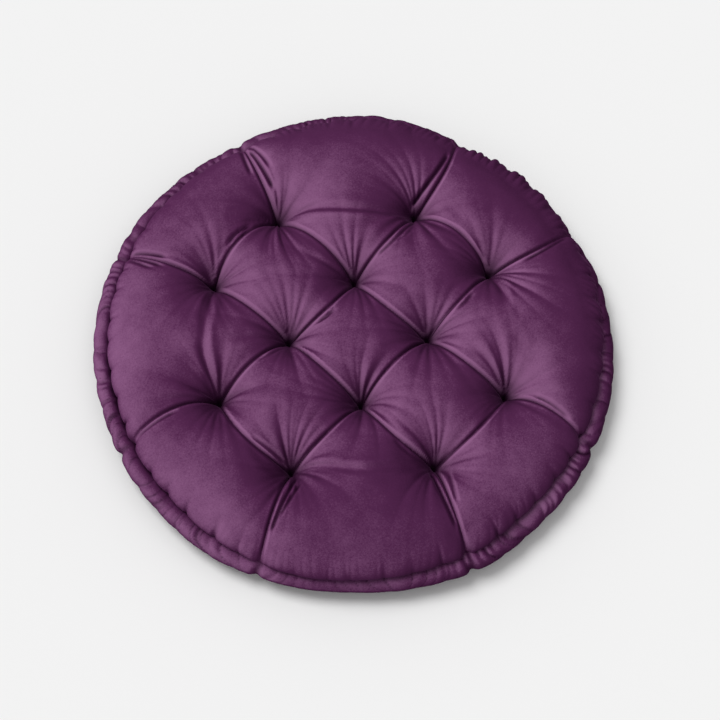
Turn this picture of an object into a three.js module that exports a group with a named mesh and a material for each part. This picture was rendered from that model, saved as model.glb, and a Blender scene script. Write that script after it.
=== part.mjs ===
// A round tufted floor cushion in velvet, in millimetres, with +Z up.
// Three sewn pieces hold the filling: a top panel drawn down at twelve tufts, a gathered side band
// and a bottom panel. The cushion lies on its bottom panel, and X runs along the rows of tufts.

import * as THREE from 'three';

const DEGREES = Math.PI / 180;
const GAP = 0.3; // between two pieces that are sewn together

// Heights above the floor
const CROWN_Z = 84; // highest pad
const SHOULDER_Z = 35.5; // where the top panel is widest
const TOP_SEAM_Z = 31;
const CORE_Z = 20; // where the top panel's filling meets the bottom panel's
const BOTTOM_SEAM_Z = 8;
const TUFT_Z = 27; // cloth at a tuft
const FOLD_Z = 60; // cloth in a fold, away from the tufts

// Radii
const SHOULDER_R = 284;
const SEAM_R = 281; // both seams
const BAND_R = 300; // widest part of the side band
const BAND_INNER_R = 262;
const REST_R = 268; // flat part of the bottom panel

// Sections from one seam to the next, each row a radius and a height
const SHOULDER_SECTION = [
  { r: SHOULDER_R, z: SHOULDER_Z },
  { r: 283.4, z: 33.6 },
  { r: SEAM_R, z: TOP_SEAM_Z + GAP },
];
const BAND_SECTION = [
  { r: SEAM_R, z: BOTTOM_SEAM_Z },
  { r: 293, z: 10.5 },
  { r: 298.5, z: 16 },
  { r: BAND_R, z: 22 },
  { r: 299, z: 25 },
  { r: 295.5, z: 28.8 },
  { r: 289, z: 31 },
  { r: SEAM_R, z: TOP_SEAM_Z },
];
const BOTTOM_SECTION = [
  { r: REST_R, z: 0 },
  { r: 281, z: 1.2 },
  { r: 289, z: 3.8 },
  { r: 292, z: 6 },
  { r: 289, z: BOTTOM_SEAM_Z - GAP },
];

// Shape of the sewn top
const DOME_POWER = 3.6; // how late the dome falls towards its shoulder
const PAD_REACH = 62; // from a fold to where a pad is full
const PAD_POWER = 2.3; // how steeply a pad rises out of its fold
const CREASE_SOFTNESS = 3;
const CREASE_PULL = 12; // points nearer than this to a fold are drawn in towards it
const TUFT_REACH = 24; // how fast a fold climbs away from a tuft
const RIM_NOTCH = 3; // depth of a fold where it runs over the shoulder
const FOLD_STEPS = 6;
const BLEND_POWER = 6; // how softly two folds' pads flow into each other

// Gathers: the rim is drawn in between its puffs, which aren't all of one length
const PUFFS = 54;
const SEGMENTS = 3 * PUFFS;
const BOTTOM_SEGMENTS = 2 * PUFFS;
const TOP_PUFF = 1.4;
const BAND_PUFF = 2.2;
const BOTTOM_PUFF = 1.2;
const EDGE_START_R = 254; // gathers fade out inwards of this radius
const BAND_FULL_R = 298; // the band's gathers are at full depth outside this radius
const ROLL_START_R = 281; // the bottom panel's puckers start here
const ROLL_FULL_R = 289;
const PUFF_MEAN = 2 / Math.PI; // mean of a half sine
const WARPS = [
  { waves: 3, turn: 0.012, start: 1.1 },
  { waves: 7, turn: 0.008, start: 2.6 },
  { waves: 17, turn: 0.004, start: 0.4 },
];

// Rings of the top panel's crown: even ones over the tufts, then closer ones towards the shoulder
const CROWN_RINGS = 20;
const CROWN_RING_R = 250;
const SHOULDER_RINGS = [257, 263, 269, 274.5, 279, 282.5];

// Tufts, row by row from the back
const TUFTS = {
  backLeft: { x: -80, y: 159 },
  backRight: { x: 80, y: 159 },
  upperLeft: { x: -158, y: 76 },
  upperMiddle: { x: 4, y: 75 },
  upperRight: { x: 163, y: 80 },
  middleLeft: { x: -75, y: 1 },
  middleRight: { x: 87, y: -2 },
  lowerLeft: { x: -156, y: -70 },
  lowerMiddle: { x: 3, y: -81 },
  lowerRight: { x: 167, y: -76 },
  frontLeft: { x: -79, y: -158 },
  frontRight: { x: 81, y: -159 },
};

// Folds between two tufts. bow is how far the middle of the fold swings to the left of its way.
const FOLDS = [
  { from: 'backLeft', to: 'upperLeft', bow: -11 },
  { from: 'backLeft', to: 'upperMiddle', bow: 3 },
  { from: 'backRight', to: 'upperMiddle', bow: 2 },
  { from: 'backRight', to: 'upperRight', bow: 9 },
  { from: 'upperLeft', to: 'middleLeft', bow: -3 },
  { from: 'upperMiddle', to: 'middleLeft', bow: 9 },
  { from: 'upperMiddle', to: 'middleRight', bow: -9 },
  { from: 'upperRight', to: 'middleRight', bow: 3 },
  { from: 'middleLeft', to: 'lowerLeft', bow: -3 },
  { from: 'middleLeft', to: 'lowerMiddle', bow: -5 },
  { from: 'middleRight', to: 'lowerMiddle', bow: -2 },
  { from: 'middleRight', to: 'lowerRight', bow: -5 },
  { from: 'lowerLeft', to: 'frontLeft', bow: -15 },
  { from: 'lowerMiddle', to: 'frontLeft', bow: 3 },
  { from: 'lowerMiddle', to: 'frontRight', bow: -11 },
  { from: 'lowerRight', to: 'frontRight', bow: 10 },
];

// Folds from the outer tufts to the rim, which they reach at an angle in degrees from X
const RIM_FOLDS = [
  { from: 'upperRight', rim: 25.5, bow: -8 },
  { from: 'backRight', rim: 61.5, bow: -9 },
  { from: 'backLeft', rim: 115, bow: 1 },
  { from: 'upperLeft', rim: 156, bow: 1.5 },
  { from: 'lowerLeft', rim: 205, bow: -7 },
  { from: 'frontLeft', rim: 246, bow: -2 },
  { from: 'frontRight', rim: 292.5, bow: -1 },
  { from: 'lowerRight', rim: 331.5, bow: 4 },
];

// Where the round outline is a little full or drawn in: degrees from X, half width in degrees, mm
const OUTLINE = [
  { at: 18, half: 8, out: 1.5 },
  { at: 25, half: 6, out: -2 },
  { at: 57, half: 6, out: -4 },
  { at: 86, half: 14, out: 3 },
  { at: 119, half: 8, out: -3 },
  { at: 135, half: 8, out: -1.5 },
  { at: 195, half: 10, out: -2 },
  { at: 235, half: 9, out: 3 },
  { at: 262, half: 20, out: 1.5 },
  { at: 266, half: 9, out: -2.5 },
  { at: 296, half: 9, out: 3 },
];

// The line of each fold on the floor plan, as a bowed curve cut into short straight steps
function foldLine(start, end, bow) {
  const along = end.clone().sub(start);
  const left = new THREE.Vector2(-along.y, along.x).normalize();
  const middle = start.clone().add(end).multiplyScalar(0.5).addScaledVector(left, 2 * bow);
  return new THREE.QuadraticBezierCurve(start, middle, end).getPoints(FOLD_STEPS);
}

function tuftPoint(name) {
  return new THREE.Vector2(TUFTS[name].x, TUFTS[name].y);
}

function rimPoint(degrees) {
  const turn = degrees * DEGREES;
  return new THREE.Vector2(Math.cos(turn), Math.sin(turn)).multiplyScalar(SHOULDER_R);
}

const foldLines = [
  ...FOLDS.map((fold) => foldLine(tuftPoint(fold.from), tuftPoint(fold.to), fold.bow)),
  ...RIM_FOLDS.map((fold) => foldLine(tuftPoint(fold.from), rimPoint(fold.rim), fold.bow)),
];

// The point of a fold line that is nearest to (x, y), with its distance
function nearestOnLine(line, x, y) {
  let nearest = { gap: Infinity };
  for (let i = 1; i < line.length; i += 1) {
    const a = line[i - 1];
    const b = line[i];
    const dx = b.x - a.x;
    const dy = b.y - a.y;
    const share = ((x - a.x) * dx + (y - a.y) * dy) / (dx * dx + dy * dy);
    const t = THREE.MathUtils.clamp(share, 0, 1);
    const gap = Math.hypot(x - a.x - t * dx, y - a.y - t * dy);
    if (gap < nearest.gap) nearest = { gap, x: a.x + t * dx, y: a.y + t * dy };
  }
  return nearest;
}

// One distance that follows the nearest of several and turns softly from one to the next
function softNearest(distances) {
  const sum = distances.reduce((total, d) => total + (d + CREASE_SOFTNESS) ** -BLEND_POWER, 0);
  return Math.max(sum ** (-1 / BLEND_POWER) - CREASE_SOFTNESS, 0);
}

function domeHeight(r) {
  const share = Math.min(r / SHOULDER_R, 1);
  return SHOULDER_Z + (CROWN_Z - SHOULDER_Z) * Math.sqrt(1 - share ** DOME_POWER);
}

// Height of the sewn top over a point of the floor plan: pads between folds that sink to the tufts
function topHeight(x, y) {
  const dome = domeHeight(Math.hypot(x, y));
  const tuftGap = Math.min(...Object.values(TUFTS).map((tuft) => Math.hypot(x - tuft.x, y - tuft.y)));
  const climb = 1 - Math.exp(-tuftGap / TUFT_REACH);
  const floor = Math.min(dome - RIM_NOTCH, TUFT_Z + (FOLD_Z - TUFT_Z) * climb);
  const foldGap = softNearest(foldLines.map((line) => nearestOnLine(line, x, y).gap));
  const fullness = Math.min(foldGap / PAD_REACH, 1);
  return floor + (dome - floor) * (1 - (1 - fullness) ** PAD_POWER);
}

// A point of the floor plan drawn in towards the fold beside it, so that the creases run clean
function drawnIn(x, y) {
  const near = foldLines
    .map((line) => nearestOnLine(line, x, y))
    .reduce((a, b) => (a.gap < b.gap ? a : b));
  const pull = Math.max(1 - near.gap / CREASE_PULL, 0);
  return [THREE.MathUtils.lerp(x, near.x, pull), THREE.MathUtils.lerp(y, near.y, pull)];
}

// How far a puff stands out of the mean round line, from about -0.64 in a pinch to 0.36 at its middle
function puff(turn) {
  return Math.abs(Math.sin((PUFFS * turn) / 2)) - PUFF_MEAN;
}

// Puffs differ in length, so every point of the rim is turned a little about the axis
function warp(turn) {
  return WARPS.reduce((sum, wave) => sum + wave.turn * Math.sin(wave.waves * turn + wave.start), 0);
}

function outline(turn) {
  return OUTLINE.reduce((sum, place) => {
    const away = THREE.MathUtils.euclideanModulo(turn / DEGREES - place.at + 180, 360) - 180;
    return sum + place.out * Math.exp(-((away / place.half) ** 2));
  }, 0);
}

// How much a point belongs to the rim: none over the tufts, all of it at the seams
function rimShare(r) {
  return THREE.MathUtils.smoothstep(r, EDGE_START_R, SEAM_R);
}

// A turned solid whose points are then moved by shape(point, turn), column by column round the axis
function turnedSolid(profile, segments, shape) {
  const geometry = new THREE.LatheGeometry(profile.map(({ r, z }) => new THREE.Vector2(r, z)), segments);
  const position = geometry.attributes.position;
  for (let i = 0; i < position.count; i += 1) {
    const column = Math.floor(i / profile.length) % segments;
    const { r, z } = profile[i % profile.length];
    const turn = (column * 2 * Math.PI) / segments;
    const placed = shape({ r, z }, turn, turn + warp(turn) * rimShare(r));
    position.setXYZ(i, placed.x, placed.y, placed.z);
  }
  geometry.computeVertexNormals();
  return geometry;
}

function polar(r, turn, z) {
  return { x: r * Math.cos(turn), y: r * Math.sin(turn), z };
}

// Top panel: crown, shoulder, the roll over the seam, and its filling down inside the band
function topPanel() {
  const overTufts = Array.from({ length: CROWN_RINGS }, (_, i) => (i * CROWN_RING_R) / CROWN_RINGS);
  const crown = [...overTufts, CROWN_RING_R, ...SHOULDER_RINGS].map((r) => ({ r, z: CROWN_Z }));
  const core = [
    { r: BAND_INNER_R - GAP, z: TOP_SEAM_Z + GAP },
    { r: BAND_INNER_R - GAP, z: CORE_Z },
    { r: 0, z: CORE_Z },
  ];
  const profile = [...crown, ...SHOULDER_SECTION, ...core].reverse();
  return turnedSolid(profile, SEGMENTS, ({ r, z }, turn, warped) => {
    if (z <= TOP_SEAM_Z + GAP) return polar(r, warped, z);
    const edge = rimShare(r);
    const wide = polar(r + edge * (TOP_PUFF * puff(turn) + outline(turn)), warped, z);
    if (z < CROWN_Z) return wide;
    const [x, y] = drawnIn(wide.x, wide.y);
    return { x, y, z: topHeight(x, y) + edge * TOP_PUFF * puff(turn) };
  });
}

// Side band: a bulging ring between the two seams, gathered along both
function sideBand() {
  const inner = [
    { r: BAND_INNER_R, z: TOP_SEAM_Z },
    { r: BAND_INNER_R, z: BOTTOM_SEAM_Z },
  ];
  const profile = [inner[1], ...BAND_SECTION, ...inner];
  return turnedSolid(profile, SEGMENTS, ({ r, z }, turn, warped) => {
    const bulge = THREE.MathUtils.smoothstep(r, SEAM_R, BAND_FULL_R);
    return polar(r + bulge * (BAND_PUFF * puff(turn) + outline(turn)), warped, z);
  });
}

// Bottom panel: flat where it rests, with a rolled rim that is puckered under the band
function bottomPanel() {
  const core = [
    { r: BAND_INNER_R - GAP, z: BOTTOM_SEAM_Z - GAP },
    { r: BAND_INNER_R - GAP, z: CORE_Z - GAP },
    { r: 0, z: CORE_Z - GAP },
  ];
  const profile = [{ r: 0, z: 0 }, ...BOTTOM_SECTION, ...core];
  return turnedSolid(profile, BOTTOM_SEGMENTS, ({ r, z }, turn, warped) => {
    const rim = THREE.MathUtils.smoothstep(r, ROLL_START_R, ROLL_FULL_R);
    return polar(r + rim * (BOTTOM_PUFF * puff(turn) + outline(turn)), warped, z);
  });
}

function velvet(color) {
  return new THREE.MeshStandardMaterial({ color, roughness: 0.9, metalness: 0 });
}

function piece(name, geometry, color) {
  const mesh = new THREE.Mesh(geometry, velvet(color));
  mesh.name = name;
  return mesh;
}

const PLUM = 0x5c3058;
const DARK_PLUM = 0x4a2546;

const cushion = new THREE.Group();
cushion.add(piece('top_panel', topPanel(), PLUM));
cushion.add(piece('side_band', sideBand(), PLUM));
cushion.add(piece('bottom_panel', bottomPanel(), DARK_PLUM));

// The uneven rim is set so that the cushion's own centre is over the origin
const middle = new THREE.Box3().setFromObject(cushion).getCenter(new THREE.Vector3());
cushion.position.set(-middle.x, -middle.y, 0);

export default cushion;
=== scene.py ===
import math

import bmesh
import bpy
import numpy as np
from mathutils import Matrix, Vector


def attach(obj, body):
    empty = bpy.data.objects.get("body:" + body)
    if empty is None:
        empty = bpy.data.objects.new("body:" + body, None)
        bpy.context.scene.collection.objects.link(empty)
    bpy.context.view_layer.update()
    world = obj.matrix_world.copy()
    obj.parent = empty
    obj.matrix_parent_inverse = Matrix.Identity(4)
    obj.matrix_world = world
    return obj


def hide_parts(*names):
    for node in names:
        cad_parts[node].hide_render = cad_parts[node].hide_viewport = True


# Looks of a round tufted floor cushion in plum velvet. Shapes are worked out in millimetres, with +Z up
# and X along the rows of tufts, and turned into metres where a mesh is filled in.

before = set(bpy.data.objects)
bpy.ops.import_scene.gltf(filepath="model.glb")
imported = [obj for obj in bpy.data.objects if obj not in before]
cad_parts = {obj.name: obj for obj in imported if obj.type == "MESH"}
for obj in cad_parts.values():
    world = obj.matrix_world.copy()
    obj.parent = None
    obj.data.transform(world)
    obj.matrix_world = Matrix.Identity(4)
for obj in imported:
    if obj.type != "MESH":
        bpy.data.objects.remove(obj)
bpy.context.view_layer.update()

MM = 0.001
FULL_TURN = 2 * math.pi
SEED = 11

# Heights above the floor
CROWN_Z = 92  # of the dome before the tufts draw it down
SHOULDER_Z = 35.5
TOP_SEAM_Z = 31
BOTTOM_SEAM_Z = 8

# Radii
SHOULDER_R = 284
SEAM_R = 281
BAND_R = 300
TUCKED_R = 264  # hidden edges of the covers, inside the seams
REST_R = 268

# The cushion's own centre lies a little off the middle of its tuft rows
CENTRE = np.array([0.0, -2.5])

# Sewn top
DOME_POWER = 3.6
CREASE_SOFTNESS = 1.5  # mm, where the pads blend at a corner between folds
BLEND_POWER = 6
FOLD_STEPS = 12
FAR = 1e6  # mm, further than any line

# Tufts, row by row from the back
TUFTS = {
    "back_left": (-81, 158),
    "back_right": (80, 159),
    "upper_left": (-158, 76),
    "upper_middle": (4, 75),
    "upper_right": (161, 80),
    "middle_left": (-75, 1),
    "middle_right": (84, -2),
    "lower_left": (-156, -70),
    "lower_middle": (3, -81),
    "lower_right": (167, -76),
    "front_left": (-79, -158),
    "front_right": (81, -159),
}

# Folds between two tufts: from, to, and how far the middle swings to the left of its way
FOLDS = [
    ("back_left", "upper_left", -11),
    ("back_left", "upper_middle", 3),
    ("back_right", "upper_middle", 2),
    ("back_right", "upper_right", 9),
    ("upper_left", "middle_left", -3),
    ("upper_middle", "middle_left", 9),
    ("upper_middle", "middle_right", -9),
    ("upper_right", "middle_right", 3),
    ("middle_left", "lower_left", -3),
    ("middle_left", "lower_middle", -5),
    ("middle_right", "lower_middle", -2),
    ("middle_right", "lower_right", -5),
    ("lower_left", "front_left", -15),
    ("lower_middle", "front_left", 3),
    ("lower_middle", "front_right", -11),
    ("lower_right", "front_right", 10),
]

# Folds from the outer tufts to the rim: from, the rim's angle in degrees from X, and the swing
RIM_FOLDS = [
    ("upper_right", 25.5, -8),
    ("back_right", 61.5, -9),
    ("back_left", 115, 1),
    ("upper_left", 156, 1.5),
    ("lower_left", 205, -7),
    ("front_left", 246, -2),
    ("front_right", 292.5, -1),
    ("lower_right", 331.5, 4),
]

# Where the round outline is a little full or drawn in: degrees from X, half width in degrees, mm
OUTLINE = [
    (18, 8, 1.5),
    (25, 6, -2),
    (57, 6, -4),
    (86, 14, 3),
    (119, 8, -3),
    (135, 8, -1.5),
    (195, 10, -2),
    (235, 9, 3),
    (262, 20, 1.5),
    (266, 9, -2.5),
    (296, 9, 3),
    (45, 12, 1.5),
    (90, 20, 2.5),
    (75, 14, 4),
    (180, 40, -2),
    (292, 15, 1.5),
]

# Parts of the rim: the middle, in degrees from X, and the half width in degrees
FRONT = (262, 24)
BACK_RIGHT = (38, 42)
BACK = (62, 58)

# Where the top's edge reaches over the band: middle, half width, mm out, mm up
OVERHANGS = [
    (*BACK_RIGHT, 9, 2.5),
    (*FRONT, 10, -1),
]
OUT, UP = 2, 3  # columns of a row

# Gathers of the rim. Whatever is uneven round it is a sum of waves: how many in a round, size, start
PUFFS = 54  # each between two stitches of the rim
MEAN_PUFF = 2 / math.pi
STITCHES_UNEVEN = [(3, 0.012, 1.1), (7, 0.008, 2.6), (17, 0.009, 0.4), (29, 0.007, 1.7)]
PULL_EVEN = 0.6
PULL_UNEVEN = [(11, 0.25, 0.9), (29, 0.15, 2.1)]
FRONT_CALM = 0.8  # how much weaker the gathers are at the front
EDGE_PLEAT_WIDTH = 2.4
NOTCH_IN = 3.5  # mm inwards where a fold runs over the rim
NOTCH_WIDTH = 5
GATHER_SPAN = (0.3, 0.7)  # slowest and fastest wave, as shares of the number of gathers
GATHER_WAVES = 24
GATHER_POWER = 0.75
TALLEST_GATHER = 1.4

# Painted light and sheen: slopes that face these ways are painted paler, and those that face away deeper
PAINTED_LIGHT_WAY = np.array([-0.52, -0.36, 0.68])
BAND_PAINTED_LIGHT_WAY = np.array([-0.38, -0.25, 0.5])

# Where the velvet is painted paler (above 0) or deeper, in patches: x, y, reach in mm, and how much
PALENESS_PATCHES = [
    (-205, -150, 60, -0.13),
    (-60, -235, 75, -0.12),
    (55, -232, 60, -0.11),
    (-242, -70, 45, -0.09),
    (240, -140, 55, 0.14),
    (200, -215, 50, 0.22),
    (265, -10, 55, 0.10),
    (-95, 15, 65, 0.11),
    (-110, 235, 40, 0.14),
    (20, 262, 60, 0.10),
]


def smooth(value, low, high):
    share = np.clip((value - low) / (high - low), 0, 1)
    return share * share * (3 - 2 * share)


def fold_line(start, end, bow):
    """A fold on the floor plan: a bowed curve from one point to another."""
    start, end = np.array(start, float), np.array(end, float)
    along = end - start
    left = np.array([-along[1], along[0]]) / np.hypot(*along)
    middle = (start + end) / 2 + 2 * bow * left
    t = np.linspace(0, 1, FOLD_STEPS + 1)[:, None]
    return (1 - t) ** 2 * start + 2 * t * (1 - t) * middle + t**2 * end


def rim_point(degrees):
    turn = math.radians(degrees)
    return SHOULDER_R * math.cos(turn), SHOULDER_R * math.sin(turn)


# The pads in front hide the bottoms of the dimples, so the whole pattern lies a little nearer the front
PATTERN_SHIFT = np.array([0.0, -6.0])
TUFTS = {name: np.array(place, float) + PATTERN_SHIFT for name, place in TUFTS.items()}
FOLD_LINES = [fold_line(TUFTS[a], TUFTS[b], bow) for a, b, bow in FOLDS] + [
    fold_line(TUFTS[a], rim_point(degrees), bow) for a, degrees, bow in RIM_FOLDS
]


def off_line(line, plan):
    """From the nearest point of a line to each point of the plan, and the side: above 0 left of its way."""
    best, side = np.full((len(plan), 2), FAR), np.ones(len(plan))
    for a, b in zip(line, line[1:]):
        along = b - a
        share = np.clip((plan - a) @ along / (along @ along), 0, 1)
        off = plan - a - share[:, None] * along
        nearer = (off**2).sum(axis=1) < (best**2).sum(axis=1)
        best[nearer] = off[nearer]
        side[nearer] = np.where(along[0] * off[nearer, 1] < along[1] * off[nearer, 0], -1, 1)
    return best, side


def distance_to_line(line, plan):
    return np.hypot(*off_line(line, plan)[0].T)


def soft_nearest(distances):
    """The smallest of several distances, with a soft change from one to the next."""
    total = sum((d + CREASE_SOFTNESS) ** -BLEND_POWER for d in distances)
    return np.maximum(total ** (-1 / BLEND_POWER) - CREASE_SOFTNESS, 0)


def dome_height(r):
    share = np.minimum(r / SHOULDER_R, 1)
    return SHOULDER_Z + (CROWN_Z - SHOULDER_Z) * np.sqrt(1 - share**DOME_POWER)


def tuft_gap(plan):
    return np.min([np.hypot(*(plan - place).T) for place in TUFTS.values()], axis=0)


def near_tuft(tuft, least, reach):
    """1 at a tuft, falling to a least value away from it."""
    return least + (1 - least) * np.exp(-tuft / reach)


def waves(turn, rows):
    """A sum of waves round the cushion."""
    return sum(size * np.sin(count * turn + start) for count, size, start in rows)


def stitch(turn):
    """0 at each stitch of the rim, 1 halfway between two."""
    return np.abs(np.sin(PUFFS * (turn - waves(turn, STITCHES_UNEVEN)) / 2))


def near_angle(turn, middle, half):
    """1 at one angle about the middle, in degrees from X, falling to 0 on both sides of it."""
    away = (np.degrees(turn) - middle + 180) % 360 - 180
    return np.exp(-((away / half) ** 2))


def overhang(turn, column):
    """How far the top's edge reaches over the band, outwards or upwards."""
    return sum(row[column] * near_angle(turn, *row[:2]) for row in OVERHANGS)


def gathered(turn):
    """How strongly the rim is gathered: least at the front."""
    return 1 - FRONT_CALM * near_angle(turn, *FRONT)


def puff(turn):
    """Sideways reach of the gathers: pinched at each stitch, full between two."""
    return gathered(turn) * (stitch(turn) - MEAN_PUFF)


def pinches(turn, r):
    """1 at each stitch of the rim, 0 between; some stitches pull harder than others."""
    away = stitch(turn) * r / PUFFS * 2
    pull = PULL_EVEN + waves(turn, PULL_UNEVEN)
    return gathered(turn) * pull * np.exp(-((away / EDGE_PLEAT_WIDTH) ** 2))


def rim_notch(turn, r):
    """1 where a fold runs over the rim."""
    total = np.zeros(len(turn))
    for _, degrees, _ in RIM_FOLDS:
        away = (turn - math.radians(degrees) + math.pi) % FULL_TURN - math.pi
        total += np.exp(-((away * r / NOTCH_WIDTH) ** 2))
    return total


def outline(turn):
    """How far the outline stands out of a true circle."""
    total = np.zeros_like(turn)
    for at, half, out in OUTLINE:
        total += out * near_angle(turn, at, half)
    return total


def polar(plan):
    return np.hypot(*plan.T), np.arctan2(plan[:, 1], plan[:, 0])


def points_of(mesh):
    flat = np.empty(3 * len(mesh.vertices), np.float32)
    mesh.vertices.foreach_get("co", flat)
    return flat.reshape(-1, 3).astype(float)


def set_points(mesh, points):
    mesh.vertices.foreach_set("co", points.astype(np.float32).ravel())
    mesh.update()


def paleness_patches(plan):
    """How much paler or deeper the patches are painted."""
    total = np.zeros(len(plan))
    for x, y, reach, paler in PALENESS_PATCHES:
        total += paler * np.exp(-((plan - [x, y]) ** 2).sum(axis=1) / reach**2)
    return total


def paint(mesh, shade, way=PAINTED_LIGHT_WAY, pale=0):
    """For the material: the painted shade of the creases each point lies in, and the painted light on its
    slope, paler the more it faces one way, plus any paler tone given.
    """
    normals = np.empty(3 * len(mesh.vertices), np.float32)
    mesh.vertices.foreach_get("normal", normals)
    painted_light_and_tone = normals.reshape(-1, 3) @ way / np.linalg.norm(way) + pale
    for name, values in (("crease", shade), ("painted_light_and_tone", painted_light_and_tone)):
        layer = mesh.attributes.new(name, "FLOAT", "POINT")
        layer.data.foreach_set("value", values.astype(np.float32))


def gathers(turn, folds, random):
    """Uneven gathers round the rim: 0 in the valleys, about 1 on the ridges."""
    low, high = (int(share * folds) for share in GATHER_SPAN)
    counts = range(low, high, max(1, (high - low) // GATHER_WAVES))
    wave = np.zeros(len(turn))
    for count in counts:
        wave += np.sin(count * turn + random.uniform(0, FULL_TURN))
    size = (np.abs(wave) / math.sqrt(len(counts))) ** GATHER_POWER
    return TALLEST_GATHER * np.tanh(size / TALLEST_GATHER)


def new_object(name, bm):
    mesh = bpy.data.meshes.new(name)
    bm.to_mesh(mesh)
    bm.free()
    mesh.shade_smooth()
    piece = bpy.data.objects.new(name, mesh)
    bpy.context.scene.collection.objects.link(piece)
    return piece


# Top cover: a coarse sheet that the simulation settles, and a fine one that takes its shape
COARSE_CELLS = 190
SECTION_POINTS = 400
ROLL_POINTS = 30
ROLL_R = 4
ROLL_TURN = 105  # degrees that the edge rolls under the shoulder
CONES = [(42, 30), (9, 12)]  # depth and reach of the wide cone and of the point in it
VALLEY_DEPTH = 5
VALLEY_REACH = 12
JUST_INSIDE = 0.999  # of the shoulder's radius
SUNK_END = 12  # mm from the tucked edge

# Stretches of the section, in mm past the shoulder, over which each thing starts or ends
OUTLINE_STARTS = (-30, 0)
TOP_ENDS = (-8, 6)
EDGE_STARTS = (-34, 0)
EDGE_ENDS = (14, 24)
GATHERS_START = (-32, -6)
GATHERS_END = (8, 16)
LIFT_ENDS = (-2, 10)
SIDEWAYS_STARTS = (-20, 0)

# How the sheet is held and cut for the simulation
SETTLE_FRAMES = 20
SOFTEN_PASSES = 3
CLOTH_SURPLUS = 1.2
CUT_Z = 50
FOLD_HOLD = 0.6
FOLD_HOLD_WIDTH = 4
FOLD_HOLD_FADE = (0.4, 30)  # least share and reach about a tuft
TUFT_HOLD_R = 4
SEAM_HOLD = 12  # mm past the shoulder
LEAST_HOLD = 0.01
CLOTH = {
    "quality": 6,
    "mass": 0.3,
    "tension_stiffness": 15,
    "compression_stiffness": 15,
    "shear_stiffness": 5,
    "bending_stiffness": 0.15,
    "use_pressure": True,
    "uniform_pressure_force": 8,
}


def cover_section():
    """Arc length, radius and height from the middle of the top, over its shoulder, to the tucked edge."""
    r = SHOULDER_R * np.sin(np.linspace(0, math.pi / 2, SECTION_POINTS))
    dome = np.c_[r, dome_height(r)]
    under = np.linspace(0, math.radians(ROLL_TURN), ROLL_POINTS)[1:]
    roll_z = SHOULDER_Z - TOP_SEAM_Z
    roll = np.c_[SHOULDER_R - ROLL_R + ROLL_R * np.cos(under), SHOULDER_Z - roll_z * np.sin(under)]
    tucked = [[TUCKED_R, TOP_SEAM_Z + 1]]
    section = np.concatenate([dome, roll, tucked])
    steps = np.hypot(*np.diff(section, axis=0).T)
    return np.r_[0, np.cumsum(steps)], section[:, 0], section[:, 1]


SECTION_LENGTH, SECTION_R, SECTION_Z = cover_section()
EDGE_ARC = SECTION_LENGTH[-1]
SHOULDER_ARC = SECTION_LENGTH[SECTION_POINTS - 1]


def past_shoulder(arc, stretch):
    """0 before a stretch of the section, 1 after it."""
    start, end = stretch
    return smooth(arc, SHOULDER_ARC + start, SHOULDER_ARC + end)


def disc_grid(cells):
    """An even square grid pressed onto a disc of radius 1, which keeps its cells alike in size."""
    bm = bmesh.new()
    bmesh.ops.create_grid(bm, x_segments=cells, y_segments=cells, size=1.0)
    for vert in bm.verts:
        u, v = vert.co.x, vert.co.y
        if u * u > v * v:
            r, turn = u, math.pi / 4 * v / u
        elif v:
            r, turn = v, math.pi / 2 - math.pi / 4 * u / v
        else:
            r, turn = 0, 0
        vert.co = (r * math.cos(turn), r * math.sin(turn), 0)
    return bm


def first_height(plan):
    """The sheet before it settles: a dome drawn down to a point at each tuft, and a little at the folds."""
    dome = dome_height(np.hypot(*plan.T))
    cone = np.zeros(len(plan))
    for place in TUFTS.values():
        gap = np.hypot(*(plan - place).T)
        cone += sum(depth * np.exp(-gap / reach) for depth, reach in CONES)
    gap = soft_nearest([distance_to_line(line, plan) for line in FOLD_LINES])
    return dome - cone - VALLEY_DEPTH * np.exp(-gap / VALLEY_REACH)


def cover_points(sheet):
    """The cover's points in millimetres from those of the round sheet, before it settles."""
    share, turn = polar(sheet)
    arc = share * EDGE_ARC
    r = np.interp(arc, SECTION_LENGTH, SECTION_R)
    z = np.interp(arc, SECTION_LENGTH, SECTION_Z)
    unit = np.c_[np.cos(turn), np.sin(turn)]
    on_dome = np.minimum(r, SHOULDER_R * JUST_INSIDE)
    sunk = first_height(unit * on_dome[:, None]) - dome_height(on_dome)
    below = 1 - smooth(arc, SHOULDER_ARC, EDGE_ARC - SUNK_END)
    wide = r + past_shoulder(arc, OUTLINE_STARTS) * outline(turn)
    return np.c_[wide * np.cos(turn), wide * np.sin(turn), z + sunk * below]


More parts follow.
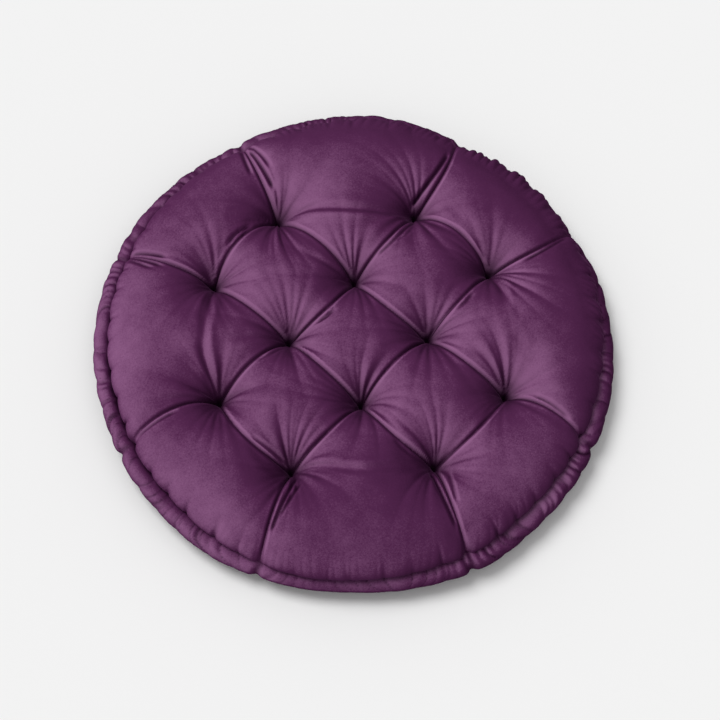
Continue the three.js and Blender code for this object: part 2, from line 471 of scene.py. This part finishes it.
def settle(sheet):
    """Cloth simulation: the sheet, cut larger than its bed, puffs up between its tufts and its rim."""
    piece = new_object("settling", disc_grid(COARSE_CELLS))
    start = cover_points(sheet)
    set_points(piece.data, start * MM)
    arc = np.hypot(*sheet.T) * EDGE_ARC
    flat = np.c_[sheet * EDGE_ARC * CLOTH_SURPLUS, np.full(len(sheet), CUT_Z)]
    piece.shape_key_add(name="Basis")
    cut = piece.shape_key_add(name="cut")
    cut.data.foreach_set("co", (flat * MM).astype(np.float32).ravel())
    plan = start[:, :2]
    gap = np.min([distance_to_line(line, plan) for line in FOLD_LINES], axis=0)
    tuft = tuft_gap(plan)
    hold = FOLD_HOLD * np.exp(-((gap / FOLD_HOLD_WIDTH) ** 2)) * near_tuft(tuft, *FOLD_HOLD_FADE)
    hold[(tuft < TUFT_HOLD_R) | (arc > SHOULDER_ARC + SEAM_HOLD)] = 1
    group = piece.vertex_groups.new(name="held")
    for index in np.nonzero(hold > LEAST_HOLD)[0]:
        group.add([int(index)], float(hold[index]), "REPLACE")
    cloth = piece.modifiers.new("cloth", "CLOTH")
    for name, value in CLOTH.items():
        setattr(cloth.settings, name, value)
    cloth.settings.vertex_group_mass = "held"
    cloth.settings.rest_shape_key = cut
    cloth.settings.effector_weights.gravity = 0
    cloth.point_cache.frame_end = SETTLE_FRAMES
    scene = bpy.context.scene
    for step in range(1, SETTLE_FRAMES + 1):
        scene.frame_set(step)
    shape = piece.evaluated_get(bpy.context.evaluated_depsgraph_get())
    settled = start + softened(points_of(shape.data) / MM - start, COARSE_CELLS + 1)
    scene.frame_set(1)
    bpy.data.objects.remove(piece)
    return settled


def softened(values, count):
    """A square of values on the coarse grid with its smallest waves smoothed away."""
    square = values.reshape(count, count, -1)
    for axis in (0, 1) * SOFTEN_PASSES:
        square = np.moveaxis(square, axis, 0)
        ends = np.concatenate([square[:1], square, square[-1:]])
        square = np.moveaxis((ends[:-2] + 2 * ends[1:-1] + ends[2:]) / 4, 0, axis)
    return square.reshape(values.shape)


def finer(values, count):
    """A square of values on the coarse grid, carried over to one twice as fine by cubics through four."""
    square = values.reshape(count, count, -1)
    for axis in (0, 1):
        square = np.moveaxis(square, axis, 0)
        ends = np.concatenate([2 * square[:1] - square[1:2], square, 2 * square[-1:] - square[-2:-1]])
        between = (9 * (ends[1:-2] + ends[2:-1]) - ends[:-3] - ends[3:]) / 16
        wide = np.empty((2 * len(square) - 1, *square.shape[1:]))
        wide[::2], wide[1::2] = square, between
        square = np.moveaxis(wide, 0, axis)
    return square.reshape(-1, values.shape[1])


# Lesser pleats beside the folds: the fold, the step aside in mm (left of its way is above 0), the start
# and the end as shares of the fold, and the depth
PLEATS = [
    ("back_left", "upper_left", -7, 0.25, 0.72, 3.0),
    ("back_right", "upper_middle", 7, 0.0, 0.75, 2.6),
    ("back_right", "upper_middle", 13, 0.1, 0.5, 1.6),
    ("upper_middle", "middle_left", 8, 0.35, 0.75, 2.8),
    ("upper_right", "middle_right", 7, 0.3, 0.7, 2.4),
    ("middle_left", "lower_left", 6, 0.0, 0.5, 1.6),
    ("lower_left", "front_left", 7, 0.45, 1.0, 2.0),
    ("lower_middle", "front_right", -6, 0.5, 1.0, 1.8),
    ("back_left", "rim", -9, 0.2, 0.95, 2.8),
    ("back_right", "rim", 11, 0.0, 0.9, 3.0),
    ("upper_left", "rim", 6, 0.45, 1.0, 2.4),
    ("upper_right", "rim", -6, 0.3, 1.0, 2.4),
    ("upper_left", "rim", -6, 0.5, 1.0, 2.6),
    ("upper_left", "rim", 13, 0.55, 1.0, 2.0),
    ("back_left", "rim", -16, 0.5, 1.0, 2.0),
    ("back_left", "rim", 8, 0.5, 1.0, 2.2),
    ("lower_left", "rim", 6, 0.4, 1.0, 2.0),
    ("front_left", "rim", 9, 0.0, 0.9, 3.0),
    ("front_left", "rim", 17, 0.05, 0.7, 2.2),
    ("front_right", "rim", -8, 0.0, 0.9, 2.6),
    ("front_right", "rim", 10, 0.05, 0.65, 1.6),
    ("lower_right", "rim", 6, 0.2, 0.9, 2.0),
]
ROUNDING = 0.001  # allowed where a share is compared
LEAST_SWING = 0.35  # share of the step aside where a pleat comes closest to its fold
PLEAT_WIDTH = 2.4
PLEAT_ENDS = 14
RIM_PLEAT = 1.3  # how much deeper the pleats are that run to the rim

# Creases of the folds; a fade is the least share far from a tuft, and its reach about the tuft
CREASE_DEPTH = 3.8
CREASE_WIDTH = 1.3
CREASE_FADE = (0.6, 40)
STITCH_CALM = 0.3
STITCH_REACH = 6

# Soft folds of the outer pads, each a valley with a low ridge to the left of its way: depth, then points
SOFT_FOLDS = [
    (2.6, [(81, 159), (46, 155), (10, 154), (-20, 158), (-50, 162), (-80, 159)]),
    (2.2, [(-159, 77), (-169, 20), (-173, -21), (-164, -54), (-156, -71)]),
    (1.4, [(-79, -157), (-36, -166), (-2, -175), (36, -168), (80, -160)]),
    (2.2, [(161, 81), (168, 66), (172, 45), (171, 20)]),
]
SOFT_WIDTH = 5.0
SOFT_ENDS = 30
RIDGE_SHARE = 0.7  # of the valley's depth
RIDGE_AWAY = 1.7  # in valley widths
CORNER_CUTS = 2
CORNER_SHARE = 0.25

# How the cloth is drawn towards the folds, and the roll of cloth beside them
DRAWN_REACH = 10
DRAWN_SHARE = 0.65
DRAWN_ENDS = 10
LIP_AWAY = 3.2
LIP_WIDTH = 1.4
LIP_HEIGHT = 1.2
# Painted highlight on the side of the roll that faces the light
LIP_HIGHLIGHT = 0.5
LIP_ENDS = 12
LIP_FADE = (0.35, 45)
PLEAT_LIP = 0.4  # share of a fold's lip

# Fans of fine pleats about each tuft: number of pleats, height in mm, reach in mm
FANS = [
    (4, 3.6, 34),
    (7, 3.5, 34),
    (13, 2.3, 30),
]
FAN_START = 8  # mm over which the pleats grow out of the stitch
FAN_END = 5 * max(reach for _, _, reach in FANS)
FAN_TWIST = 0.004  # most turn of a fan for each mm from its tuft
FAN_SPREAD = 0.25  # how far the number of pleats strays, as a share of it
FAN_LEAST = 0.4  # size of the weakest wave, where the strongest is 1
FAN_MIDDLE = 0.8  # of a ridge's height, which lies level with the cloth
FAN_EVEN, FAN_UNEVEN = 0.55, 0.45  # shares of the strength about a tuft
FAN_LOBES = (2, 5)  # least number of strong sides of a fan, and one more than the most

# Gathers of the top's rim
TOP_PUFF = 2.0
EDGE_PLEAT = 2.8
RIM_GATHER = 3.2
TOP_GATHERS = 170
TOP_MIDDLE = 0.6  # of a gather's height, which lies level with the cloth
GATHERS_FRONT = 0.2  # strength away from the back
GATHERS_OUT = 0.45  # share of the height that also goes outwards
GATHERS_EVEN = 0.75
GATHERS_UNEVEN = [(7, 0.25, 1.3)]
LEAN_EVEN = 0.1
LEAN_UNEVEN = [(5, 0.35, 1)]

# Painted shade of the creases
SHADE_FADE = (0.55, 40)
SHADE_FULL = 0.8  # share of a crease's depth at which it is darkest
SHADE_POWER = 1.4
DIMPLE_REACH = 12
STREAK_DEPTH = 1.8  # mm, of a fan's valley at its darkest
STREAK_REACH = 40
STREAK_SHADE = 0.5
PINCH_SHADE = 0.5


def fold_named(start, end):
    names = [(a, b) for a, b, _ in FOLDS] + [(a, "rim") for a, _, _ in RIM_FOLDS]
    return FOLD_LINES[names.index((start, end))]


def pleat_line(start, end, step, first, last):
    """A line that swings away from a fold and back. One that runs to the rim starts wide and closes in."""
    line = fold_named(start, end)
    share = np.linspace(0, 1, len(line))
    along = np.gradient(line, axis=0)
    left = np.c_[-along[:, 1], along[:, 0]] / np.hypot(*along.T)[:, None]
    grown = np.clip((share - first) / (last - first), 0, 1)
    bulge = np.cos(math.pi / 2 * grown) if end == "rim" else np.sin(math.pi * grown)
    swing = step * (LEAST_SWING + (1 - LEAST_SWING) * bulge)
    kept = (share >= first - ROUNDING) & (share <= last + ROUNDING)
    return (line + swing[:, None] * left)[kept]


def end_fade(line, plan, length):
    """1 along a line, falling to 0 near its ends."""
    ends = np.minimum(np.hypot(*(plan - line[0]).T), np.hypot(*(plan - line[-1]).T))
    return smooth(ends, 0, length)


def fan(plan, random):
    """Uneven pleats that spread from each tuft and die away."""
    total = np.zeros(len(plan))
    for place in TUFTS.values():
        away, turn = polar(plan - place)
        near = away < FAN_END
        away, turn = away[near], turn[near]
        turn = turn + FAN_TWIST * away * random.uniform(-1, 1)
        for pleats, height, reach in FANS:
            spread = int(FAN_SPREAD * pleats)
            counts = range(pleats - spread, pleats + spread + 1)
            wave = np.zeros(len(away))
            for count in counts:
                size = random.uniform(FAN_LEAST, 1)
                wave += size * np.sin(count * turn + random.uniform(0, FULL_TURN))
            ridge = 2 * np.abs(wave) / math.sqrt(len(counts)) - FAN_MIDDLE
            lobes = np.sin(turn * random.integers(*FAN_LOBES) + random.uniform(0, FULL_TURN))
            grown = 1 - np.exp(-away / FAN_START)
            strength = height * (FAN_EVEN + FAN_UNEVEN * lobes)
            total[near] += strength * ridge * grown * np.exp(-away / reach)
    return total


def grooves(plan):
    """Depth of the folds' creases and of the pleats beside them."""
    depth = np.zeros(len(plan))
    tuft = tuft_gap(plan)
    crease = CREASE_DEPTH * near_tuft(tuft, *CREASE_FADE)
    for line in FOLD_LINES:
        gap = distance_to_line(line, plan)
        depth = np.maximum(depth, crease * np.exp(-gap / CREASE_WIDTH))
    for start, end, step, first, last, deep in PLEATS:
        line = pleat_line(start, end, step, first, last)
        gap = distance_to_line(line, plan)
        share = RIM_PLEAT if end == "rim" else 1
        groove = share * deep * np.exp(-((gap / PLEAT_WIDTH) ** 2))
        depth = np.maximum(depth, groove * end_fade(line, plan, PLEAT_ENDS))
    return depth * (1 - STITCH_CALM * np.exp(-tuft / STITCH_REACH))


def lips(plan):
    """The cloth's roll beside each fold: its ridge, and a painted highlight on the part of it to the right,
    the side that faces the light.
    """
    ridge, pale = np.zeros(len(plan)), np.zeros(len(plan))
    lines = [(line, 1) for line in FOLD_LINES] + [(pleat_line(*row[:5]), PLEAT_LIP) for row in PLEATS]
    for line, size in lines:
        off = off_line(line, plan)[0]
        gap = np.hypot(*off.T)
        lip = size * np.exp(-(((gap - LIP_AWAY) / LIP_WIDTH) ** 2)) * end_fade(line, plan, LIP_ENDS)
        ridge = np.maximum(ridge, lip)
        pale = np.maximum(pale, lip * (off[:, 0] > 0))
    fade = near_tuft(tuft_gap(plan), *LIP_FADE)
    return LIP_HEIGHT * ridge * fade, LIP_HIGHLIGHT * pale * fade


def rounded(points):
    """A line with its corners cut off, more than once."""
    line = np.array(points, float)
    for _ in range(CORNER_CUTS):
        step = CORNER_SHARE * np.diff(line, axis=0)
        cut = np.stack([line[:-1] + step, line[1:] - step], axis=1)
        line = np.concatenate([line[:1], cut.reshape(-1, 2), line[-1:]])
    return line


def soft_folds(plan):
    """Height of the soft folds: a valley and the low ridge beside it."""
    height = np.zeros(len(plan))
    for depth, points in SOFT_FOLDS:
        line = rounded(points) + PATTERN_SHIFT
        off, left = off_line(line, plan)
        side = left * np.hypot(*off.T) / SOFT_WIDTH
        ridge = RIDGE_SHARE * np.exp(-((side - RIDGE_AWAY) ** 2))
        height += depth * end_fade(line, plan, SOFT_ENDS) * (ridge - np.exp(-(side**2)))
    return height


def drawn_in(plan):
    """The plan with the points near each fold drawn towards it, so that its crease is sharp."""
    moved = plan.copy()
    for line in FOLD_LINES:
        off = off_line(line, moved)[0]
        near = np.clip(1 - np.hypot(*off.T) / DRAWN_REACH, 0, 1) ** 2
        moved -= off * (DRAWN_SHARE * near * end_fade(line, moved, DRAWN_ENDS))[:, None]
    return moved


def rim_gathers(arc, turn, random):
    """Height of the fine gathers along the rim, which are strongest at the back and lean unevenly."""
    strength = RIM_GATHER * (GATHERS_FRONT + near_angle(turn, *BACK))
    strength *= GATHERS_EVEN + waves(turn, GATHERS_UNEVEN)
    lean = turn + (waves(turn, LEAN_UNEVEN) + LEAN_EVEN) * (arc - SHOULDER_ARC) / SHOULDER_R
    ridges = gathers(lean, TOP_GATHERS, random) - TOP_MIDDLE
    return strength * past_shoulder(arc, GATHERS_START) * ridges


def top_shade(plan, deep, fans):
    """Painted shade: how dark the folds, the dimples and the valleys of the fans are painted."""
    tuft = tuft_gap(plan)
    folds = np.clip(deep / CREASE_DEPTH / SHADE_FULL, 0, 1) ** SHADE_POWER
    streaks = STREAK_SHADE * np.clip(-fans / STREAK_DEPTH, 0, 1) * np.exp(-tuft / STREAK_REACH)
    return np.max([folds * near_tuft(tuft, *SHADE_FADE), streaks, np.exp(-tuft / DIMPLE_REACH)], axis=0)


def top_cover():
    """The settled sheet with its creases, pleats, gathers and overhanging edge."""
    coarse = disc_grid(COARSE_CELLS)
    sheet = np.array([tuple(vert.co) for vert in coarse.verts])[:, :2]
    coarse.free()
    piece = new_object("top_cover", disc_grid(2 * COARSE_CELLS))
    points = settle(sheet)
    points = finer(points, COARSE_CELLS + 1)
    arc = np.hypot(*finer(sheet, COARSE_CELLS + 1).T) * EDGE_ARC
    points[:, :2] = plan = drawn_in(points[:, :2])
    r, turn = polar(plan)
    on_top = 1 - past_shoulder(arc, TOP_ENDS)
    edge = past_shoulder(arc, EDGE_STARTS) * (1 - past_shoulder(arc, EDGE_ENDS))
    random = np.random.default_rng(SEED)
    deep = grooves(plan)
    fans = fan(plan, random)
    ridge, pale = lips(plan)
    fine = rim_gathers(arc, turn, random)
    lift = fans + soft_folds(plan) + ridge - deep + fine
    pinched = pinches(turn, r)
    puffed = (TOP_PUFF + near_angle(turn, *BACK_RIGHT)) * puff(turn)
    out = edge * (puffed - EDGE_PLEAT * pinched - NOTCH_IN * rim_notch(turn, r))
    out += GATHERS_OUT * fine * (1 - past_shoulder(arc, GATHERS_END))
    points[:, 2] += on_top * lift + out * (1 - past_shoulder(arc, LIFT_ENDS)) + edge * overhang(turn, UP)
    sideways = out * past_shoulder(arc, SIDEWAYS_STARTS) + edge * overhang(turn, OUT)
    points[:, :2] += sideways[:, None] * plan / r[:, None].clip(1)
    set_points(piece.data, (points + [*CENTRE, 0]) * MM)
    # Painted shade in the folds, dimples, fan valleys and rim pinches; painted highlight on the lips, and
    # painted light on the slopes in paint()
    shade = np.maximum(on_top * top_shade(plan, deep, fans), PINCH_SHADE * edge * pinched)
    paint(piece.data, shade, pale=pale * on_top + paleness_patches(plan))
    return piece


# Side band and bottom covers
SPIN_STEPS = 960
MERGE_WITHIN = 1e-6
BAND_ROWS = 22
BAND_PUFF = 1.2
BAND_OUT = 1.8  # the gathered band stands this much further out than its section
BAND_TUCK = 1.0  # and this much less under the top's edge at the back right

# Stretches of the band: radii, and heights as shares of the way from the bottom seam to the top seam
OUTER = (SEAM_R - 6, SEAM_R - 1)
BULGE = (SEAM_R - 4, BAND_R - 4)
SEAM_FREE = (SEAM_R, SEAM_R + 5)
SEAM_DARK = (SEAM_R, SEAM_R + 3)
LOWER_ENDS = (0.1, 0.7)
PINCHES_START = (0.3, 0.9)
SLOPE_STARTS = (0.55, 0.9)

# Gathers of the band: how many there are in a round, and their sizes outwards and upwards in mm
UPPER, LOWER, BROAD = 130, 170, 64
UPPER_OUT, LOWER_OUT, BROAD_OUT, MIDDLE_OUT = 0.3, 0.7, 0.6, 0.7
UPPER_UP, BROAD_UP, MIDDLE_UP = 1.9, 0.8, 1.6
OVERHANG_DOWN = 0.35
PINCH_IN = 2.4
BAND_LEAN_EVEN = 0.03
BAND_LEAN_UNEVEN = [(11, 0.1, 0.6)]

# Painted shade of the band's creases, between its gathers and along its seam
BAND_PINCH_SHADE = 0.7
NOTCH_SHADE = 0.5
GATHER_SHADE = 0.6
GATHER_DARK_BELOW = 1 / 3  # of a gather's height
SEAM_SHADE = 0.8

# Radius and height, from the bottom seam to the top seam
BAND_SECTION = [
    (281, 8), (287, 8.4), (292, 10), (296, 13), (299, 17), (300, 21), (299.5, 25), (298, 28.3),
    (295.5, 31), (292, 32.8), (288.5, 33.6), (285.5, 33.4), (283, 32.2), (281, 30.5),
]

# Radius and height, from the middle of the underside, over its rim, to the hidden edge
BOTTOM_SECTION = [
    (0, 0), (60, 0), (120, 0), (180, 0), (225, 0), (255, 0), (REST_R, 0), (275, 0.4), (281, 1.2),
    (286, 2.4), (290, 4), (292, 6), (291, 7), (288, 7.6), (280, 7.6), (TUCKED_R, 7.6),
]
BOTTOM_RIM = (275, 289)
BOTTOM_GATHERS = 214
BOTTOM_OUT, BOTTOM_MIDDLE = 1.8, 1.2
BOTTOM_PUFF = 1.2
BOTTOM_SHADE = 0.35


def spun(name, section):
    """A closed ring or dish from a section of (radius, height) points, turned about the axis."""
    bm = bmesh.new()
    verts = [bm.verts.new((r * MM, 0, z * MM)) for r, z in section]
    edges = [bm.edges.new(pair) for pair in zip(verts, verts[1:])]
    bmesh.ops.spin(
        bm, geom=verts + edges, cent=(0, 0, 0), axis=(0, 0, 1), dvec=(0, 0, 0),
        angle=FULL_TURN, steps=SPIN_STEPS, use_merge=True,
    )
    bmesh.ops.remove_doubles(bm, verts=bm.verts, dist=MERGE_WITHIN)
    bmesh.ops.recalc_face_normals(bm, faces=bm.faces)
    return new_object(name, bm)


def side_cover():
    """The band: a turned section with uneven gathers, and puckers under the top's edge."""
    knots = np.array(BAND_SECTION, float)
    lengths = np.r_[0, np.cumsum(np.hypot(*np.diff(knots, axis=0).T))]
    even = np.linspace(0, lengths[-1], BAND_ROWS)
    outer = list(zip(np.interp(even, lengths, knots[:, 0]), np.interp(even, lengths, knots[:, 1])))
    hidden = [(TUCKED_R, BOTTOM_SEAM_Z), (TUCKED_R, TOP_SEAM_Z)]
    piece = spun("side_cover", [hidden[0], *outer, hidden[1], hidden[0]])
    points = points_of(piece.data) / MM
    r, turn = polar(points[:, :2])
    height = (points[:, 2] - BOTTOM_SEAM_Z) / (TOP_SEAM_Z - BOTTOM_SEAM_Z)
    shown, bulge = smooth(r, *OUTER), smooth(r, *BULGE)
    slope = smooth(height, *SLOPE_STARTS)
    random = np.random.default_rng(SEED + 1)
    lean = turn + (height - 0.5) * (waves(turn, BAND_LEAN_UNEVEN) + BAND_LEAN_EVEN)
    upper = gathers(lean, UPPER, random)
    lower = gathers(turn, LOWER, random) * (1 - smooth(height, *LOWER_ENDS))
    broad = gathers(lean, BROAD, random)
    pinch = shown * pinches(lean, r) * smooth(height, *PINCHES_START)
    notch = shown * rim_notch(turn, r)
    fine = UPPER_OUT * upper + LOWER_OUT * lower + BROAD_OUT * broad * bulge - MIDDLE_OUT
    raised = shown * (UPPER_UP * upper + BROAD_UP * broad - MIDDLE_UP) - PINCH_IN * pinch
    lift = slope * (gathered(turn) * raised - OVERHANG_DOWN * overhang(turn, OUT))
    stands = BAND_PUFF * puff(turn) + outline(turn) + BAND_OUT - BAND_TUCK * near_angle(turn, *BACK_RIGHT)
    wide = r + bulge * stands + gathered(turn) * shown * fine - PINCH_IN * pinch - NOTCH_IN * notch
    place = np.c_[wide * np.cos(turn), wide * np.sin(turn)]
    z = points[:, 2] + lift * smooth(r, *SEAM_FREE)
    set_points(piece.data, np.c_[place + CENTRE, z] * MM)
    # Painted shade between the gathers, at the pinches and notches and along the seam under the top's edge;
    # paint() adds painted light on the slopes
    between = GATHER_SHADE * shown * np.clip(1 - upper / GATHER_DARK_BELOW, 0, 1)
    seam_gap_shade = SEAM_SHADE * (1 - smooth(r, *SEAM_DARK))
    shade = np.max([BAND_PINCH_SHADE * pinch, NOTCH_SHADE * notch, between, seam_gap_shade], axis=0)
    paint(piece.data, shade, BAND_PAINTED_LIGHT_WAY, paleness_patches(place))
    return piece


def bottom_cover():
    """The underside: a flat dish whose rolled rim is gathered."""
    piece = spun("bottom_cover", BOTTOM_SECTION)
    points = points_of(piece.data) / MM
    r, turn = polar(points[:, :2])
    rim = smooth(r, *BOTTOM_RIM)
    random = np.random.default_rng(SEED + 2)
    fine = BOTTOM_OUT * gathers(turn, BOTTOM_GATHERS, random) - BOTTOM_MIDDLE
    wide = r + rim * (BOTTOM_PUFF * puff(turn) + outline(turn) + fine)
    place = np.c_[wide * np.cos(turn), wide * np.sin(turn)]
    set_points(piece.data, np.c_[place + CENTRE, points[:, 2]] * MM)
    # Painted shade on the gathered rim, and painted light on the slopes
    paint(piece.data, rim * BOTTOM_SHADE)
    return piece


# Sockets that share a name with others, by number
MIX_SHARE, MIX_FIRST, MIX_SECOND, MIX_RESULT = 0, 6, 7, 2


class Value:
    """A shader socket that takes part in Python arithmetic."""

    def __init__(self, shader, socket):
        self.shader, self.socket = shader, socket

    def math(self, operation, first, second):
        return self.shader.node("ShaderNodeMath", {"operation": operation}, [first, second])

    def __add__(self, other):
        return self.math("ADD", self, other)

    def __radd__(self, other):
        return self.math("ADD", other, self)

    def __sub__(self, other):
        return self.math("SUBTRACT", self, other)

    def __rsub__(self, other):
        return self.math("SUBTRACT", other, self)

    def __mul__(self, other):
        return self.math("MULTIPLY", self, other)

    def __rmul__(self, other):
        return self.math("MULTIPLY", other, self)


class Shader:
    """A material whose nodes are made one by one."""

    def __init__(self, name):
        self.material = bpy.data.materials.new(name)
        self.material.use_nodes = True
        self.tree = self.material.node_tree
        self.surface = self.tree.nodes["Principled BSDF"]

    def node(self, kind, settings, inputs, output=0):
        """Any node: its settings, what its sockets are given by number or name, and the output wanted."""
        made = self.tree.nodes.new(kind)
        for name, setting in settings.items():
            setattr(made, name, setting)
        pairs = inputs.items() if isinstance(inputs, dict) else enumerate(inputs)
        for key, given in pairs:
            self.feed(made.inputs[key], given)
        return Value(self, made.outputs[output])

    def feed(self, socket, given):
        if isinstance(given, Value):
            self.tree.links.new(given.socket, socket)
        else:
            socket.default_value = given

    def cover(self, inputs):
        """Values and made sockets for the surface itself."""
        for name, given in inputs.items():
            self.feed(self.surface.inputs[name], given)

    def noise(self, place, scale, detail=2.0, roughness=0.5, distortion=0.0):
        inputs = {
            "Vector": place, "Scale": scale, "Detail": detail,
            "Roughness": roughness, "Distortion": distortion,
        }
        return self.node("ShaderNodeTexNoise", {}, inputs)

    def spread(self, value, low, high):
        """0 below low, 1 above high, and a smooth rise in between."""
        inputs = {"Value": value, "From Min": low, "From Max": high}
        return self.node("ShaderNodeMapRange", {"clamp": True, "interpolation_type": "SMOOTHSTEP"}, inputs)

    def mix(self, share, first, second):
        """A colour between two."""
        inputs = {MIX_SHARE: share, MIX_FIRST: first, MIX_SECOND: second}
        return self.node("ShaderNodeMix", {"data_type": "RGBA"}, inputs, MIX_RESULT)

    def attribute(self, name):
        """A value that paint() left on the mesh."""
        return self.node("ShaderNodeAttribute", {"attribute_name": name}, {}, "Fac")


# Colours of the velvet: the painted shade of its creases; deep, for the side painted as shaded and the
# random dark of its fibre tips; its own plum; and pale, for the side painted as lit, with its sheen
COLOURS = {
    "crease": (0.014, 0.002, 0.012),
    "deep": (0.036, 0.007, 0.031),
    "plum": (0.100, 0.024, 0.086),
    "pale": (0.310, 0.130, 0.276),
}
UNDER_SHADE = 0.7  # of the velvet underneath, where the face has 1

# Noise of the velvet: scale, detail, roughness and distortion
PATCHES = (9, 3, 0.55, 0.6)
BLOTCHES = (45, 4, 0.65, 0.3)
FIBRES = (800, 2, 0.7)
GRAIN = (420, 3, 0.7)
MEAN_NOISE = 0.5

# How far each kind of noise turns the pile
PATCH_SHARE, BLOTCH_SHARE = 0.6, 0.4
MOTTLE_TURN = 0.5
FIBRE_TURN = 0.4
GRAIN_TURN = 0.35

# Where the painted light turns the colour from deep (painted shade) to plum and from plum to pale (painted
# light and sheen), and where the painted shade of the creases and the fibre tips grow dark
PLUM_STARTS = (0.0, 0.9)
PALE_STARTS = (0.6, 1.18)
CREASE_STARTS = (0.05, 0.9)
TIPS_START = (0.35, 0.65)
TIPS_SHADE = 0.1

# The surface itself, and the relief that the fibres and blotches give it
SURFACE = {
    "Roughness": 0.9,
    "Specular IOR Level": 0.0,
    "Sheen Weight": 0.1,
    "Sheen Roughness": 0.4,
    "Sheen Tint": (0.9, 0.35, 0.82, 1),
}
BUMP = {"Strength": 0.3, "Distance": 0.0008}
FIBRE_BUMP, BLOTCH_BUMP = 0.4, 0.6


def velvet(name, shade):
    shader = Shader(name)
    tone = {key: [c * shade for c in colour] + [1] for key, colour in COLOURS.items()}
    place = shader.node("ShaderNodeTexCoord", {}, {}, "Object")
    # Painted light and sheen: the slope's value from paint(), paler the more the slope faces one way
    slope = shader.attribute("painted_light_and_tone")
    crease = shader.attribute("crease")
    patches = shader.noise(place, *PATCHES)
    blotches = shader.noise(place, *BLOTCHES)
    fibres = shader.noise(place, *FIBRES)
    grain = shader.noise(place, *GRAIN)
    mottle = patches * PATCH_SHARE + blotches * BLOTCH_SHARE - MEAN_NOISE
    turned = (fibres - MEAN_NOISE) * FIBRE_TURN + (grain - MEAN_NOISE) * GRAIN_TURN
    painted_light_and_tone = slope + mottle * MOTTLE_TURN + turned
    tips = (shader.spread(grain, *TIPS_START) + shader.spread(fibres, *TIPS_START)) * TIPS_SHADE
    # Painted light and shade: deep, plum and pale follow the slope's painted light; the fibre tips then
    # darken it at random, and the creases get their painted shade
    colour = shader.mix(shader.spread(painted_light_and_tone, *PLUM_STARTS), tone["deep"], tone["plum"])
    colour = shader.mix(shader.spread(painted_light_and_tone, *PALE_STARTS), colour, tone["pale"])
    colour = shader.mix(tips, colour, tone["deep"])
    colour = shader.mix(shader.spread(crease, *CREASE_STARTS), colour, tone["crease"])
    height = fibres * FIBRE_BUMP + blotches * BLOTCH_BUMP
    bump = shader.node("ShaderNodeBump", {}, {**BUMP, "Height": height})
    shader.cover({**SURFACE, "Base Color": colour, "Normal": bump})
    return shader.material


# Camera
AIM = Vector((5.3, -30.7, 40)) * MM
CAMERA_AZIMUTH = 6.93
CAMERA_ELEVATION = 64.5
CAMERA_ROLL = 4.08
CAMERA_DISTANCE = 2.417
LENS = 105.8
SENSOR = 36
NEAREST, FURTHEST = 0.05, 50


def set_camera():
    azimuth, elevation = math.radians(CAMERA_AZIMUTH), math.radians(CAMERA_ELEVATION)
    ahead = Vector((
        math.sin(azimuth) * math.cos(elevation),
        math.cos(azimuth) * math.cos(elevation),
        -math.sin(elevation),
    ))
    right = Vector((math.cos(azimuth), -math.sin(azimuth), 0))
    right = Matrix.Rotation(math.radians(-CAMERA_ROLL), 3, ahead) @ right
    up = right.cross(ahead)
    data = bpy.data.cameras.new("camera")
    data.lens, data.sensor_width = LENS, SENSOR
    data.clip_start, data.clip_end = NEAREST, FURTHEST
    camera = bpy.data.objects.new("camera", data)
    rotation = Matrix((right, up, -ahead)).transposed().to_4x4()
    camera.matrix_world = Matrix.Translation(AIM - ahead * CAMERA_DISTANCE) @ rotation
    bpy.context.scene.collection.objects.link(camera)
    bpy.context.scene.camera = camera


# Light and floor
WORLD_STRENGTH = 0.52
SUN_STRENGTH = 1.75
SUN_ANGLE = 34
SUN_PLACE = (-1, 1, 2)
SUN_WAY = Vector((0.5, -0.34, -1.0))
FLOOR_HALF = 6.0
FLOOR_Z = -0.0004
FLOOR_SURFACE = {"Base Color": (0.9, 0.9, 0.9, 1), "Roughness": 0.9, "Specular IOR Level": 0.0}


def set_light():
    world = bpy.data.worlds.new("studio")
    world.use_nodes = True
    background = world.node_tree.nodes["Background"]
    background.inputs["Color"].default_value = (1, 1, 1, 1)
    background.inputs["Strength"].default_value = WORLD_STRENGTH
    bpy.context.scene.world = world
    data = bpy.data.lights.new("key", "SUN")
    data.energy, data.angle = SUN_STRENGTH, math.radians(SUN_ANGLE)
    key = bpy.data.objects.new("key", data)
    key.rotation_euler = SUN_WAY.to_track_quat("-Z", "Y").to_euler()
    key.location = SUN_PLACE
    bpy.context.scene.collection.objects.link(key)


def floor():
    bm = bmesh.new()
    bmesh.ops.create_grid(bm, x_segments=1, y_segments=1, size=FLOOR_HALF)
    piece = new_object("floor", bm)
    shader = Shader("floor")
    shader.cover(FLOOR_SURFACE)
    piece.data.materials.append(shader.material)
    piece.location.z = FLOOR_Z


def dress(piece, node, material):
    piece.data.materials.append(material)
    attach(piece, "root")
    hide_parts(node)


set_camera()
set_light()
floor()
bpy.context.scene.view_settings.view_transform = "Standard"

face_velvet = velvet("face_velvet", 1.0)
under_velvet = velvet("under_velvet", UNDER_SHADE)
dress(top_cover(), "top_panel", face_velvet)
dress(side_cover(), "side_band", face_velvet)
dress(bottom_cover(), "bottom_panel", under_velvet)
